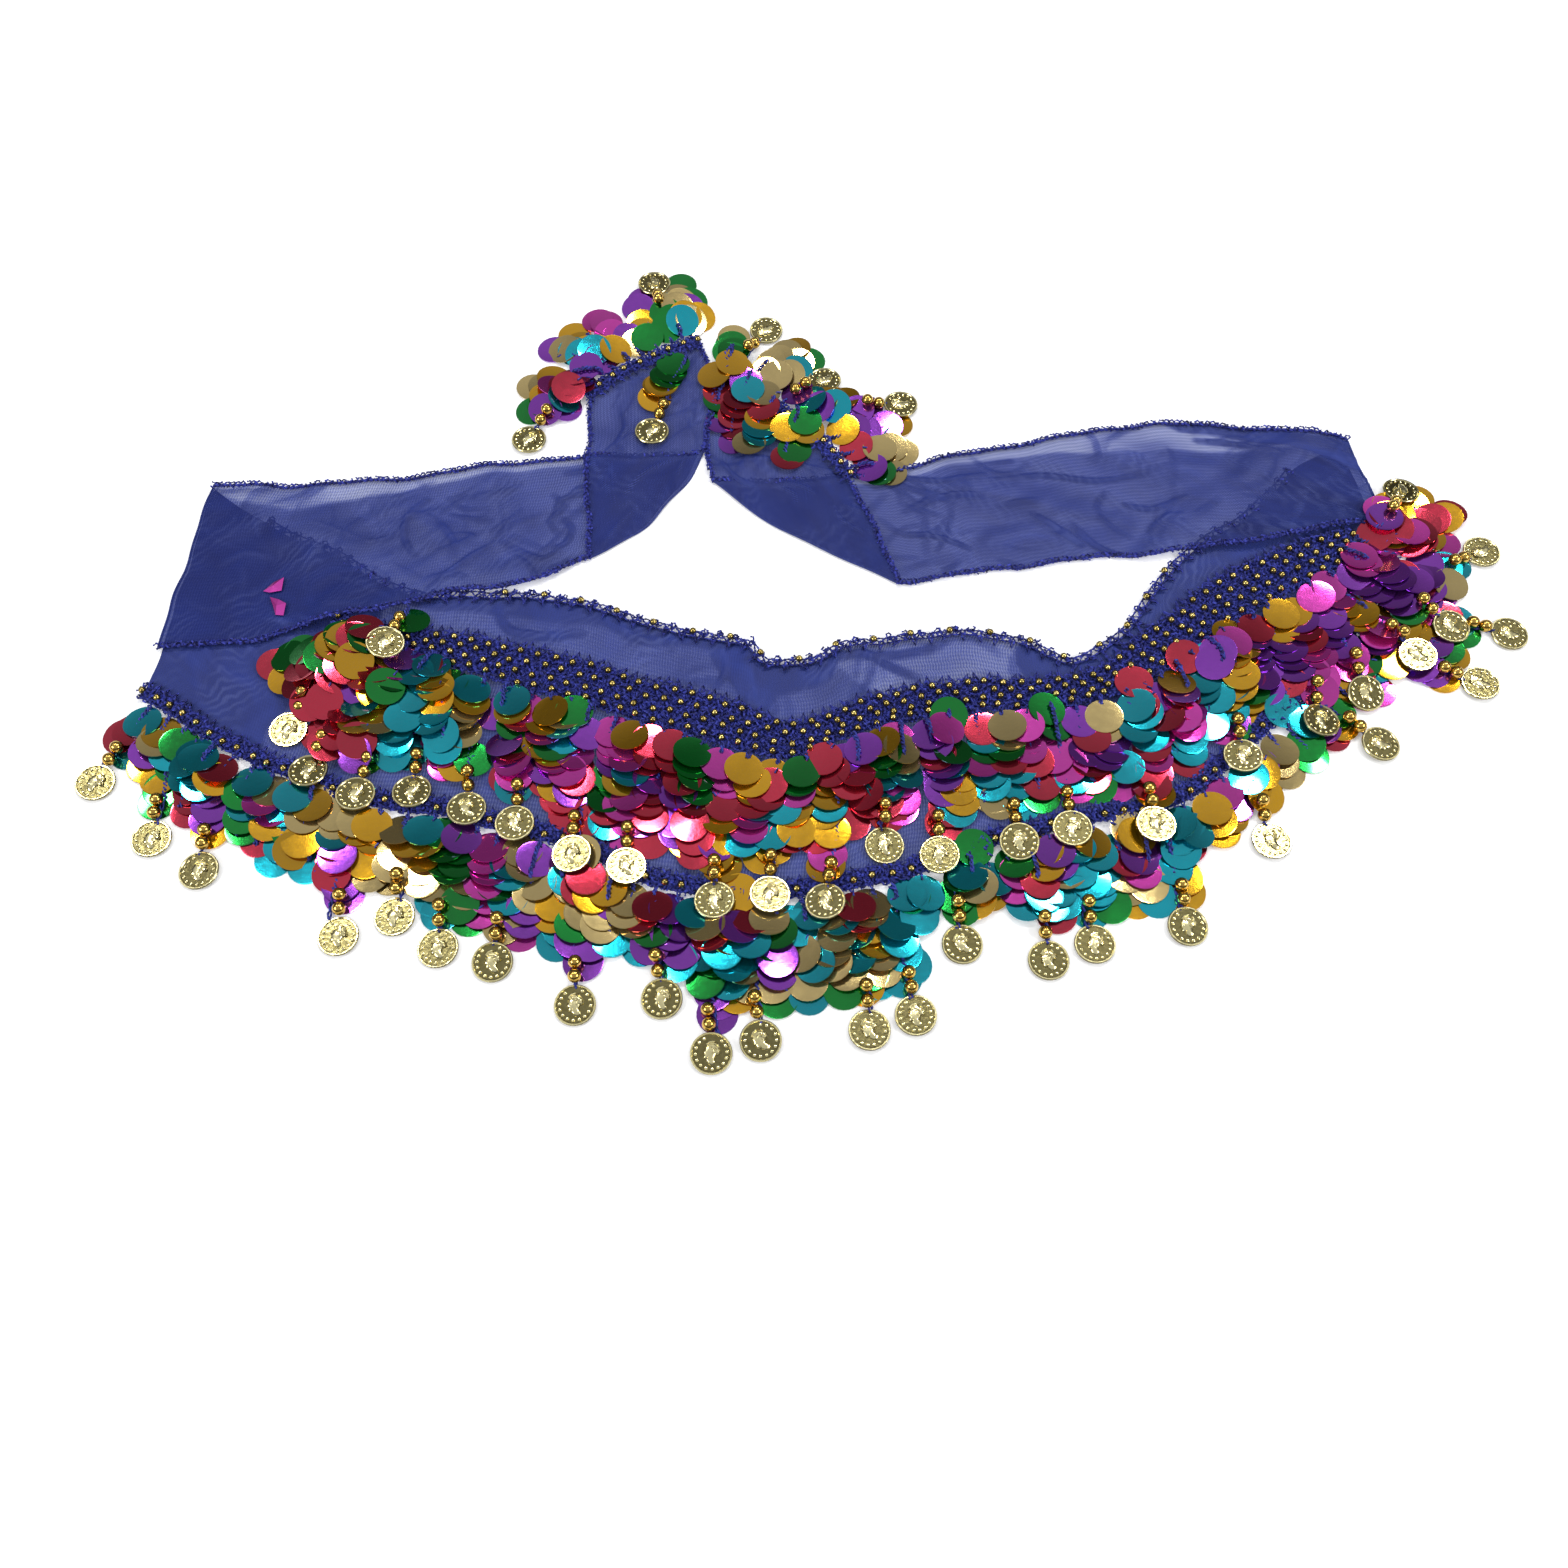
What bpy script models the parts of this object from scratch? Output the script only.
"""Belly dance hip scarf, laid flat with its two long ties folded back above the waist edge.

X runs along the waist, Y away from the viewer, +Z up. The origin is under the middle of the
whole scarf, on the surface that it lies on. Every size below is in millimetres, and
make_object turns them into metres.
"""

import math

import bmesh
import bpy

MILLIMETRE = 0.001

# The middle of the laid-out scarf in the tables below, which goes to the origin
middle_x = 0.9
middle_y = -0.1

# Cloth and trimmings
cloth_wall = 1.2
gap = 0.3
fold_radius = cloth_wall + gap
fold_turns = (90, 60, 30)
edging_width = 4.5
edging_height = 2.4
band_height = 2.4
backing_width = 2.6
backing_height = 3.0

# A fringe strand: a column of round sequins, two gold beads and a coin
coin_diameter = 20.0
coin_thickness = 1.8
bead_width = 7.0
bead_run = 12.0
column_width = 12.0
column_share = 0.8
column_thickness = 5.0
column_shares = (0.1, 0.9)
knee_share = 0.2
root_width = 6.0
backing_overhang = 1.5
strand_spacing = 14.5
short_by = 24.0
lower_tier_reach = 80.0

# How cloth and strands ride up over what lies beneath them
support_margin = 11.0
drape_run = 11.0

# Edges that turn by more than this many degrees stay sharp
sharp_corner = 40

# The centre panel: one row for each section, from the waist edge to the lower hem
# waist x, waist y, hem x, hem y, bow
panel_sections = [
    (-346, 85, -356, -45, 0),
    (-313, 63, -330, -62, 0),
    (-270, 40, -290, -84, 0),
    (-232, 18, -250, -101, 0),
    (-205, 12, -215, -110, 0),
    (-165, 13, -178, -116, 0),
    (-126, 5, -140, -126, 0),
    (-90, -6, -108, -138, 0),
    (-60, -15, -76, -153, 0),
    (-39, -19, -42, -157, 0),
    (-31, -28, -27, -157, 0),
    (-5, -29, 0, -155, 0),
    (20, -19, 26, -150, 0),
    (60, -13, 58, -140, 0),
    (105, -15, 92, -128, 0),
    (135, -29, 125, -119, 0),
    (162, -14, 158, -114, 0),
    (181, 12, 185, -103, 0),
    (207, 41, 212, -83, 0),
    (241, 65, 245, -52, 0),
    (272, 96, 280, -18, 0),
    (305, 118, 319, 42, 0),
]

# The beaded band that is sewn across the panel, from its upper to its lower edge
# upper x, upper y, lower x, lower y, bow
band_sections = [
    (-262, -1, -263, -14, 0),
    (-223, -9, -226, -24, 0),
    (-173, -17, -171, -40, 0),
    (-140, -26, -138, -51, 0),
    (-107, -36, -106, -60, 0),
    (-75, -45, -74, -71, 0),
    (-48, -54, -48, -80, 0),
    (-12, -66, -12, -85, 0),
    (20, -54, 22, -71, 0),
    (47, -45, 51, -62, 0),
    (95, -41, 96, -58, 0),
    (146, -36, 154, -50, 0),
    (172, -14, 186, -31, 0),
    (196, 4, 210, -14, 0),
    (245, 37, 255, 15, 0),
    (298, 54, 300, 36, 0),
]

# The left tie, from the fold at its left end to the fold where its end turns up
# upper hem x, upper hem y, lower hem x, lower hem y, bow
left_tie_sections = [
    (-346, 86, -356, -20, 0),
    (-298, 88, -309, -16, 0),
    (-241, 93, -266, -3, 0),
    (-184, 103, -209, 12, 0),
    (-133, 108, -166, 21, 0),
    (-69, 111, -127, 38, -8),
]

# The left tie's end, from the fold up to its beaded edge
# left x, left y, right x, right y, bow
left_end_sections = [
    (-127, 38, -69, 111, 8),
    (-131, 75, -66, 135, 4),
    (-133, 115, -65, 162, -2),
    (-134, 152, -76, 194, -6),
]

# The right tie, from the fold where its end turns up to the fold at its right end
# upper hem x, upper hem y, lower hem x, lower hem y, bow
right_tie_sections = [
    (-60, 91, 45, 23, 5),
    (21, 94, 62, 24, 0),
    (76, 108, 92, 30, 0),
    (133, 121, 150, 38, 0),
    (192, 132, 207, 43, 0),
    (242, 131, 262, 52, 0),
    (280, 127, 297, 59, 0),
    (308, 121, 322, 65, 0),
]

# The right tie's end, from the fold up to its beaded edge
# right x, right y, left x, left y, bow
right_end_sections = [
    (45, 23, -60, 91, -5),
    (36, 46, -62, 118, 0),
    (27, 70, -61, 147, 3),
    (18, 92, -59, 174, 6),
]

# The largest folds, each a soft ridge between two points
# start x, start y, end x, end y, height, half width
panel_folds = [
    (-148, 11, -147, 0, 2.4, 11),
    (-112, 4, -115, -10, 2.6, 11),
    (-66, -12, -71, -26, 2.0, 10),
    (-36, -20, -40, -38, 3.2, 10),
    (14, -18, 12, -34, 2.8, 11),
    (66, -10, 64, -22, 2.4, 11),
]
tie_folds = [
    (-322, 60, -262, 42, 2.4, 13),
    (-242, 72, -190, 38, 3.0, 13),
    (-188, 86, -168, 52, 2.4, 12),
    (84, 90, 150, 64, 3.0, 14),
    (100, 50, 168, 60, 2.4, 12),
    (176, 112, 250, 88, 2.8, 14),
    (206, 70, 262, 112, 2.2, 12),
]
tie_end_folds = [
    (-112, 78, -104, 158, 3.0, 12),
    (-84, 116, -82, 172, 2.4, 11),
    (-40, 96, -30, 142, 3.0, 12),
    (-6, 60, 4, 96, 2.6, 11),
]

# Fringe strands that end in a coin: where each hangs along its edge, and where its coin lies
# root x, coin x, coin y
lower_coins = [
    (-351, -371, -100),
    (-330, -336, -131),
    (-302, -309, -148),
    (-236, -235, -182),
    (-208, -209, -172),
    (-183, -186, -188),
    (-152, -159, -195),
    (-114, -118, -216),
    (-82, -77, -213),
    (-58, -53, -239),
    (-36, -30, -233),
    (14, 21, -228),
    (34, 43, -221),
    (62, 67, -186),
    (102, 108, -194),
    (124, 131, -186),
    (170, 177, -177),
    (214, 225, -132),
    (258, 290, -78),
    (290, 350, -42),
    (306, 373, -11),
    (317, 368, 33),
]
upper_coins = [
    (-260, -277, -70),
    (-243, -262, -95),
    (-222, -236, -108),
    (-202, -208, -106),
    (-177, -179, -116),
    (-151, -154, -124),
    (-120, -124, -141),
    (-92, -97, -147),
    (-50, -53, -165),
    (-22, -26, -162),
    (4, 1, -166),
    (29, 31, -135),
    (54, 58, -141),
    (94, 98, -134),
    (120, 125, -127),
    (160, 166, -126),
    (206, 216, -87),
    (252, 260, -66),
    (267, 287, -49),
    (281, 318, -27),
    (296, 341, -8),
]

# The stretches that each tier is sewn on in
# name, lowest root x, highest root x
lower_fringe_parts = [
    ("left", -374, -205),
    ("middle_left", -205, -20),
    ("middle_right", -20, 138),
    ("right", 138, 340),
]
upper_fringe_parts = [
    ("left", -280, -140),
    ("middle", -140, 108),
    ("right", 108, 340),
]

# Strands on the tie ends: share along the beaded edge, tip x, tip y, and whether it has a coin
left_end_strands = [
    (0.08, -90, 239, True),
    (0.25, -113, 222, False),
    (0.42, -137, 203, False),
    (0.59, -158, 180, False),
    (0.76, -168, 152, False),
    (0.93, -172, 122, True),
]
right_end_strands = [
    (0.08, 48, 104, False),
    (0.25, 36, 126, False),
    (0.42, 46, 147, True),
    (0.59, 10, 163, False),
    (0.76, -4, 182, False),
    (0.93, -27, 204, True),
]
turned_strand_root = (-70, 176)
turned_strand_coin = (-95, 122)


def smooth_rows(rows, steps):
    """Rows on a smooth curve through the given rows, with so many steps between each pair."""
    result = []
    for index in range(len(rows) - 1):
        before = rows[max(index - 1, 0)]
        start = rows[index]
        end = rows[index + 1]
        after = rows[min(index + 2, len(rows) - 1)]
        for step in range(steps):
            share = step / steps
            row = []
            for a, b, c, d in zip(before, start, end, after):
                curve = 2 * b + (c - a) * share
                curve += (2 * a - 5 * b + 4 * c - d) * share**2
                curve += (3 * b - a - 3 * c + d) * share**3
                row.append(curve / 2)
            result.append(tuple(row))
    result.append(tuple(float(value) for value in rows[-1]))
    return result


def across(row, count):
    """Points from one side of a section to the other, its middle pushed sideways by its bow."""
    ax, ay, bx, by, bow = row
    length = math.hypot(bx - ax, by - ay)
    side_x, side_y = (by - ay) / length, (ax - bx) / length
    points = []
    for step in range(count):
        share = step / (count - 1)
        push = bow * 4 * share * (1 - share)
        points.append((ax + (bx - ax) * share + side_x * push, ay + (by - ay) * share + side_y * push))
    return points


def outline(grid):
    """The edge of a grid of points, as one closed loop."""
    first, last = grid[0], grid[-1]
    starts = [line[0] for line in grid]
    ends = [line[-1] for line in grid]
    return starts + last[1:] + ends[::-1][1:] + first[::-1][1:-1]


def distance_outside(point, loop):
    """How far a point lies outside a closed loop, and 0 inside it."""
    x, y = point
    is_inside = False
    nearest = math.inf
    for (ax, ay), (bx, by) in zip(loop, loop[1:] + loop[:1]):
        if (ay > y) != (by > y) and x < ax + (y - ay) / (by - ay) * (bx - ax):
            is_inside = not is_inside
        along = (x - ax) * (bx - ax) + (y - ay) * (by - ay)
        share = min(max(along / max((bx - ax) ** 2 + (by - ay) ** 2, 1e-9), 0), 1)
        nearest = min(nearest, math.hypot(x - ax - share * (bx - ax), y - ay - share * (by - ay)))
    return 0 if is_inside else nearest


def resting_height(point, supports):
    """How high a layer lies at a point, over the pieces that are already there."""
    height = 0
    for loop, top in supports:
        away = max(distance_outside(point, loop) - support_margin, 0)
        share = max(1 - away / drape_run, 0)
        height = max(height, (top + gap) * share * share * (3 - 2 * share))
    return height


def fold_height(point, folds):
    """How far the folds of a cloth lift it at a point."""
    x, y = point
    height = 0
    for start_x, start_y, end_x, end_y, top, half_width in folds:
        run_x, run_y = end_x - start_x, end_y - start_y
        share = ((x - start_x) * run_x + (y - start_y) * run_y) / (run_x**2 + run_y**2)
        share = min(max(share, 0), 1)
        away = math.hypot(x - start_x - share * run_x, y - start_y - share * run_y)
        height = max(height, top * max(1 - (away / half_width) ** 2, 0) ** 2)
    return height


def make_object(name, points, faces, material):
    """A closed mesh object from points in millimetres, with its faces turned out."""
    mesh = bpy.data.meshes.new(name)
    places = []
    for x, y, z in points:
        places.append(((x - middle_x) * MILLIMETRE, (y - middle_y) * MILLIMETRE, z * MILLIMETRE))
    mesh.from_pydata(places, [], faces)
    shape = bmesh.new()
    shape.from_mesh(mesh)
    bmesh.ops.recalc_face_normals(shape, faces=shape.faces)
    shape.to_mesh(mesh)
    shape.free()
    mesh.materials.append(material)
    mesh.shade_smooth()
    mesh.set_sharp_from_angle(angle=math.radians(sharp_corner))
    made = bpy.data.objects.new(name, mesh)
    bpy.context.scene.collection.objects.link(made)


def wall(name, under, over, material):
    """A closed wall between two grids of points, one under the other."""
    rows, columns = len(under), len(under[0])
    points = [point for line in under for point in line] + [point for line in over for point in line]
    upper = rows * columns

    def number(row, column):
        return row * columns + column

    faces = []
    for row in range(rows - 1):
        for column in range(columns - 1):
            a, b = number(row, column), number(row, column + 1)
            c, d = number(row + 1, column + 1), number(row + 1, column)
            faces.append((a, b, c, d))
            faces.append((d + upper, c + upper, b + upper, a + upper))
    rim = [number(row, 0) for row in range(rows)]
    rim += [number(rows - 1, column) for column in range(1, columns)]
    rim += [number(row, columns - 1) for row in range(rows - 2, -1, -1)]
    rim += [number(0, column) for column in range(columns - 2, 0, -1)]
    for a, b in zip(rim, rim[1:] + rim[:1]):
        faces.append((a, b, b + upper, a + upper))
    make_object(name, points, faces, material)


def folded_edge(line, next_line):
    """Grid lines that carry a layer round a fold and down to the surface, outermost first."""
    middle = len(line) // 2
    (x, y), (inner_x, inner_y) = line[middle], next_line[middle]
    right_x, right_y = beside(line, 1.0)[middle]
    outward = 1 if (right_x - x) * (x - inner_x) + (right_y - y) * (y - inner_y) > 0 else -1
    lines = []
    for degrees in fold_turns:
        angle = math.radians(degrees)
        layers = []
        for radius in (fold_radius, fold_radius + cloth_wall):
            moved = beside(line, outward * radius * math.sin(angle))
            layers.append([(x, y, radius * math.cos(angle)) for x, y in moved])
        lines.append(layers)
    return lines


def cloth(name, grid, supports, folds, material, fold_first=False, fold_last=False):
    """A panel of cloth that rests on its supports, with a rounded fold at either end of its grid."""
    lines = []
    for line in grid:
        heights = [resting_height(point, supports) + fold_height(point, folds) for point in line]
        under = [(x, y, z) for (x, y), z in zip(line, heights)]
        over = [(x, y, z + cloth_wall) for x, y, z in under]
        lines.append((under, over))
    if fold_first:
        lines[0] = flat_line(grid[0])
        lines = folded_edge(grid[0], grid[1]) + lines
    if fold_last:
        lines[-1] = flat_line(grid[-1])
        lines = lines + folded_edge(grid[-1], grid[-2])[::-1]
    wall(name, [under for under, over in lines], [over for under, over in lines], material)


def flat_line(line):
    """The line of a fold, where the upper layer lies just over one other layer."""
    under = [(x, y, fold_radius) for x, y in line]
    over = [(x, y, fold_radius + cloth_wall) for x, y in line]
    return under, over


def beside(line, distance):
    """The points of a line, moved to its right by a distance."""
    moved = []
    for index, (x, y) in enumerate(line):
        ax, ay = line[max(index - 1, 0)]
        bx, by = line[min(index + 1, len(line) - 1)]
        length = math.hypot(bx - ax, by - ay)
        moved.append((x + (by - ay) / length * distance, y - (bx - ax) / length * distance))
    return moved


def strip(name, line, supports, folds, material):
    """A crocheted edging beside a line, over its supports, with its upper corners rounded."""
    bevel = edging_height / 3
    near, far = gap, gap + edging_width
    columns = [beside(line, reach) for reach in (near, near + bevel, far - bevel, far)]
    under, over = [], []
    for places in zip(*columns):
        bottom = max([gap] + [resting_height(place, supports) for place in places])
        bottom += fold_height(places[0], folds)
        top = bottom + edging_height
        heights = (top - bevel, top, top, top - bevel)
        under.append([(x, y, bottom) for x, y in places])
        over.append([(x, y, z) for (x, y), z in zip(places, heights)])
    wall(name, under, over, material)


def distances_along(line):
    """The distance of each point of a line from its start."""
    total = [0.0]
    for (ax, ay), (bx, by) in zip(line, line[1:]):
        total.append(total[-1] + math.hypot(bx - ax, by - ay))
    return total


def place_along(line, distance):
    """The point at a distance along a line, and the direction to its right there."""
    totals = distances_along(line)
    distance = min(max(distance, 0), totals[-1])
    index = max(number for number, total in enumerate(totals[:-1]) if total <= distance)
    share = (distance - totals[index]) / (totals[index + 1] - totals[index])
    (ax, ay), (bx, by) = line[index], line[index + 1]
    length = totals[index + 1] - totals[index]
    point = (ax + (bx - ax) * share, ay + (by - ay) * share)
    return point, ((by - ay) / length, -(bx - ax) / length)


def distance_at_x(line, x):
    """The distance along a line that runs towards +X to where it passes a given x."""
    totals = distances_along(line)
    for index in range(len(line) - 1):
        if line[index][0] <= x <= line[index + 1][0]:
            share = (x - line[index][0]) / (line[index + 1][0] - line[index][0])
            return totals[index] + share * (totals[index + 1] - totals[index])
    return totals[-1] if x > line[-1][0] else 0.0


def tier_strands(line, coins):
    """The strands of one tier: those with coins, and shorter ones without between them."""
    strands = []
    for index, (root_x, coin_x, coin_y) in enumerate(coins):
        root = distance_at_x(line, root_x)
        strands.append((root, (coin_x, coin_y), True))
        if index == len(coins) - 1:
            continue
        next_x, next_coin_x, next_coin_y = coins[index + 1]
        next_root = distance_at_x(line, next_x)
        length = length_to(line, root, coin_x, coin_y)
        next_length = length_to(line, next_root, next_coin_x, next_coin_y)
        shortest = min(length, next_length)
        between = max(round((next_root - root) / strand_spacing) - 1, 0)
        for number in range(between):
            share = (number + 1) / (between + 1)
            middle = root + (next_root - root) * share
            tip_x = coin_x + (next_coin_x - coin_x) * share
            tip_y = coin_y + (next_coin_y - coin_y) * share
            (start_x, start_y), _ = place_along(line, middle)
            kept = (shortest - short_by) / length_to(line, middle, tip_x, tip_y)
            tip = (start_x + (tip_x - start_x) * kept, start_y + (tip_y - start_y) * kept)
            strands.append((middle, tip, False))
    return strands


def length_to(line, distance, x, y):
    """How far a point is from the root of a strand."""
    (start_x, start_y), _ = place_along(line, distance)
    return math.hypot(x - start_x, y - start_y)


def widths(line, strands):
    """The width of each strand's column: full, or less where its neighbours hang close by."""
    columns = []
    for root, (tip_x, tip_y), has_coin in strands:
        (x, y), _ = place_along(line, root)
        length = math.hypot(tip_x - x, tip_y - y)
        kept = (length - coin_diameter) / length if has_coin else 1
        columns.append(((x, y), (x + (tip_x - x) * kept, y + (tip_y - y) * kept)))
    result = []
    for index, ((x, y), (end_x, end_y)) in enumerate(columns):
        space = column_width / column_share
        length = math.hypot(end_x - x, end_y - y)
        for other in columns[max(index - 1, 0) : index] + columns[index + 1 : index + 2]:
            for other_x, other_y in other:
                aside = (end_x - x) * (other_y - y) - (end_y - y) * (other_x - x)
                space = min(space, abs(aside) / length)
        result.append(space * column_share)
    return result


def strand_sections(has_coin, column):
    """Each section of a strand: its share of the way down the column of sequins, how far it lies
    past the column's end, its width and its thickness."""
    sections = [(share, 0, column, column_thickness) for share in column_shares]
    if not has_coin:
        return sections + [(1, 0, column * 0.5, column_thickness * 0.6)]
    corner = coin_diameter / 2 * math.tan(math.pi / 8)
    coin_middle = bead_run + coin_diameter / 2
    return sections + [
        (1, 0, bead_width, column_thickness),
        (1, bead_run, corner * 2, coin_thickness),
        (1, coin_middle - corner, coin_diameter, coin_thickness),
        (1, coin_middle + corner, coin_diameter, coin_thickness),
        (1, bead_run + coin_diameter, corner * 2, coin_thickness),
    ]


def strand_rings(start, side, tip, has_coin, column, supports):
    """The four corners of each section of a strand that leaves start sideways and bends to tip."""
    length = math.hypot(tip[0] - start[0], tip[1] - start[1])
    knee = (start[0] + side[0] * length * knee_share, start[1] + side[1] * length * knee_share)
    reach = math.hypot(tip[0] - knee[0], tip[1] - knee[1])
    ahead_x, ahead_y = (tip[0] - knee[0]) / reach, (tip[1] - knee[1]) / reach
    hanging = bead_run + coin_diameter / 2 if has_coin else 0
    column_end = (tip[0] - ahead_x * hanging, tip[1] - ahead_y * hanging)
    rings = []
    for share, past, width, thickness in strand_sections(has_coin, column):
        middle, heading = [], []
        for a, b, c in zip(start, knee, column_end):
            middle.append((1 - share) ** 2 * a + 2 * share * (1 - share) * b + share**2 * c)
            heading.append((1 - share) * (b - a) + share * (c - b))
        size = math.hypot(*heading)
        ahead = (heading[0] / size, heading[1] / size)
        x, y = middle[0] + ahead[0] * past, middle[1] + ahead[1] * past
        near = (x + ahead[1] * width / 2, y - ahead[0] * width / 2)
        far = (x - ahead[1] * width / 2, y + ahead[0] * width / 2)
        bottom = max(resting_height(near, supports), resting_height(far, supports), gap)
        top = bottom + thickness
        rings.append([(*near, bottom), (*far, bottom), (*far, top), (*near, top)])
    return rings


def comb(name, line, strands, supports, material):
    """Strands side by side, their roots fused into a narrow backing strip along a line."""
    points, faces = [], []

    def add_ring(corners):
        points.extend(corners)
        return list(range(len(points) - 4, len(points)))

    def join(ring, next_ring, sides):
        for side in sides:
            faces.append((ring[side], ring[(side + 1) % 4], next_ring[(side + 1) % 4], next_ring[side]))

    def backing_ring(distance):
        (x, y), (side_x, side_y) = place_along(line, distance)
        outer = (x + side_x * backing_width, y + side_y * backing_width)
        bottom = max(resting_height((x, y), supports), resting_height(outer, supports), gap)
        top = bottom + backing_height
        return add_ring([(x, y, bottom), (*outer, bottom), (*outer, top), (x, y, top)])

    margin = root_width / 2 + backing_overhang
    first, last = strands[0][0] - margin, strands[-1][0] + margin
    stations = [(first, None), (last, None)]
    for strand, column in zip(strands, widths(line, strands)):
        stations += [(strand[0] - root_width / 2, (*strand, column)), (strand[0] + root_width / 2, None)]
    for distance in distances_along(line):
        is_clear = all(abs(distance - strand[0]) > root_width / 2 + gap for strand in strands)
        if first + gap < distance < last - gap and is_clear:
            stations.append((distance, None))
    stations.sort(key=lambda station: station[0])
    backing = [backing_ring(distance) for distance, strand in stations]
    faces.append(backing[0][::-1])
    faces.append(backing[-1])
    for index, (distance, strand) in enumerate(stations[:-1]):
        ring, next_ring = backing[index], backing[index + 1]
        if strand is None:
            join(ring, next_ring, (0, 1, 2, 3))
            continue
        join(ring, next_ring, (0, 2, 3))
        root, tip, has_coin, column = strand
        (x, y), side = place_along(line, root)
        start = (x + side[0] * backing_width, y + side[1] * backing_width)
        strand_ring = [ring[1], next_ring[1], next_ring[2], ring[2]]
        for corners in strand_rings(start, side, tip, has_coin, column, supports):
            next_strand_ring = add_ring(corners)
            join(strand_ring, next_strand_ring, (0, 1, 2, 3))
            strand_ring = next_strand_ring
        faces.append(strand_ring)
    make_object(name, points, faces, material)


def fringe_tier(prefix, parts, line, coins, supports, material):
    """One tier of strands along a line, as one comb for each of its parts."""
    strands = tier_strands(line, coins)
    for name, low_x, high_x in parts:
        part = [strand for strand in strands if low_x <= place_along(line, strand[0])[0][0] < high_x]
        comb(f"{prefix}_{name}", line, part, supports, material)


def finish(name, colour, roughness, metallic):
    """A plain material with the colour, roughness and metallic value of a piece."""
    material = bpy.data.materials.new(name)
    material.use_nodes = True
    shader = material.node_tree.nodes["Principled BSDF"]
    shader.inputs["Base Color"].default_value = (*colour, 1.0)
    shader.inputs["Roughness"].default_value = roughness
    shader.inputs["Metallic"].default_value = metallic
    return material


def grid_of(rows, steps, count):
    """The grid of points of a piece, from its section table."""
    return [across(row, count) for row in smooth_rows(rows, steps)]


def build():
    """Make every piece of the scarf, from the surface upwards."""
    chiffon = finish("blue_chiffon", (0.03, 0.04, 0.24), 0.75, 0.0)
    crochet = finish("blue_crochet", (0.02, 0.02, 0.18), 0.85, 0.0)
    beadwork = finish("gold_beads_on_net", (0.30, 0.24, 0.10), 0.5, 0.4)
    sequins = finish("foil_sequins_and_coins", (0.45, 0.12, 0.20), 0.3, 0.8)

    # The centre panel with its edgings, flat on the surface
    panel = grid_of(panel_sections, 2, 11)
    waist_edge = [line[0] for line in panel][-2:0:-1]
    hem_edge = [line[-1] for line in panel]
    cloth("centre_panel", panel, [], panel_folds, chiffon)
    strip("waist_edging", waist_edge, [], panel_folds, crochet)
    strip("lower_hem_edging", hem_edge, [], [], crochet)

    # The lower tier hangs from the hem edging
    lower_line = beside(hem_edge, edging_width + gap * 2)
    fringe_tier("lower_fringe", lower_fringe_parts, lower_line, lower_coins, [], sequins)

    # The beaded band lies on the panel, and the upper tier hangs from it, over the lower one
    band = grid_of(band_sections, 2, 4)
    under = [[(x, y, fold_radius) for x, y in line] for line in band]
    over = [[(x, y, fold_radius + band_height) for x, y in line] for line in band]
    wall("bead_band", under, over, beadwork)
    on_panel = (outline(panel), cloth_wall)
    past_hem = (hem_edge + beside(hem_edge, lower_tier_reach)[::-1], gap + column_thickness)
    upper_line = beside([line[-1] for line in band], gap)
    fringe_tier("upper_fringe", upper_fringe_parts, upper_line, upper_coins, [on_panel, past_hem], sequins)

    # The ties fold back over the ends of the panel
    on_edging = (waist_edge + beside(waist_edge, edging_width)[::-1], gap + edging_height)
    on_band = (outline(band), fold_radius + backing_height)
    under_ties = [on_panel, on_edging, on_band]
    left_tie = grid_of(left_tie_sections, 6, 9)
    right_tie = grid_of(right_tie_sections, 5, 9)
    cloth("left_tie", left_tie, under_ties, tie_folds, chiffon, fold_first=True)
    cloth("right_tie", right_tie, under_ties, tie_folds, chiffon, fold_last=True)

    # Each tie's end folds up over the tie, and carries a short fringe
    on_left_tie = (outline(left_tie), cloth_wall)
    on_right_tie = (outline(right_tie), cloth_wall)
    on_ties = [on_left_tie, on_right_tie]
    left_end = grid_of(left_end_sections, 4, 9)
    right_end = grid_of(right_end_sections, 4, 9)
    cloth("left_tie_end", left_end, [on_left_tie], tie_end_folds, chiffon, fold_first=True)
    cloth("right_tie_end", right_end, [on_right_tie], tie_end_folds, chiffon, fold_first=True)
    ends = (
        ("left_end", left_end[-1][::-1], left_end_strands),
        ("right_end", right_end[-1], right_end_strands),
    )
    for name, edge, rows in ends:
        strip(f"{name}_edging", edge, on_ties, [], crochet)
        line = beside(edge, edging_width + gap * 2)
        length = distances_along(line)[-1]
        strands = [(share * length, (x, y), has_coin) for share, x, y, has_coin in rows]
        comb(f"{name}_fringe", line, strands, on_ties, sequins)

    # One strand has turned back over the left tie's end
    root_x, root_y = turned_strand_root
    run_x, run_y = turned_strand_coin[0] - root_x, turned_strand_coin[1] - root_y
    length = math.hypot(run_x, run_y)
    half_x, half_y = -run_y / length * coin_diameter / 2, run_x / length * coin_diameter / 2
    line = [(root_x - half_x, root_y - half_y), (root_x + half_x, root_y + half_y)]
    highest_fold = max(top for *places, top, half_width in tie_end_folds)
    on_left_end = (outline(left_end), fold_radius + cloth_wall + highest_fold)
    comb("turned_strand", line, [(coin_diameter / 2, turned_strand_coin, True)], [on_left_end], sequins)


for old in list(bpy.data.objects):
    bpy.data.objects.remove(old)
build()
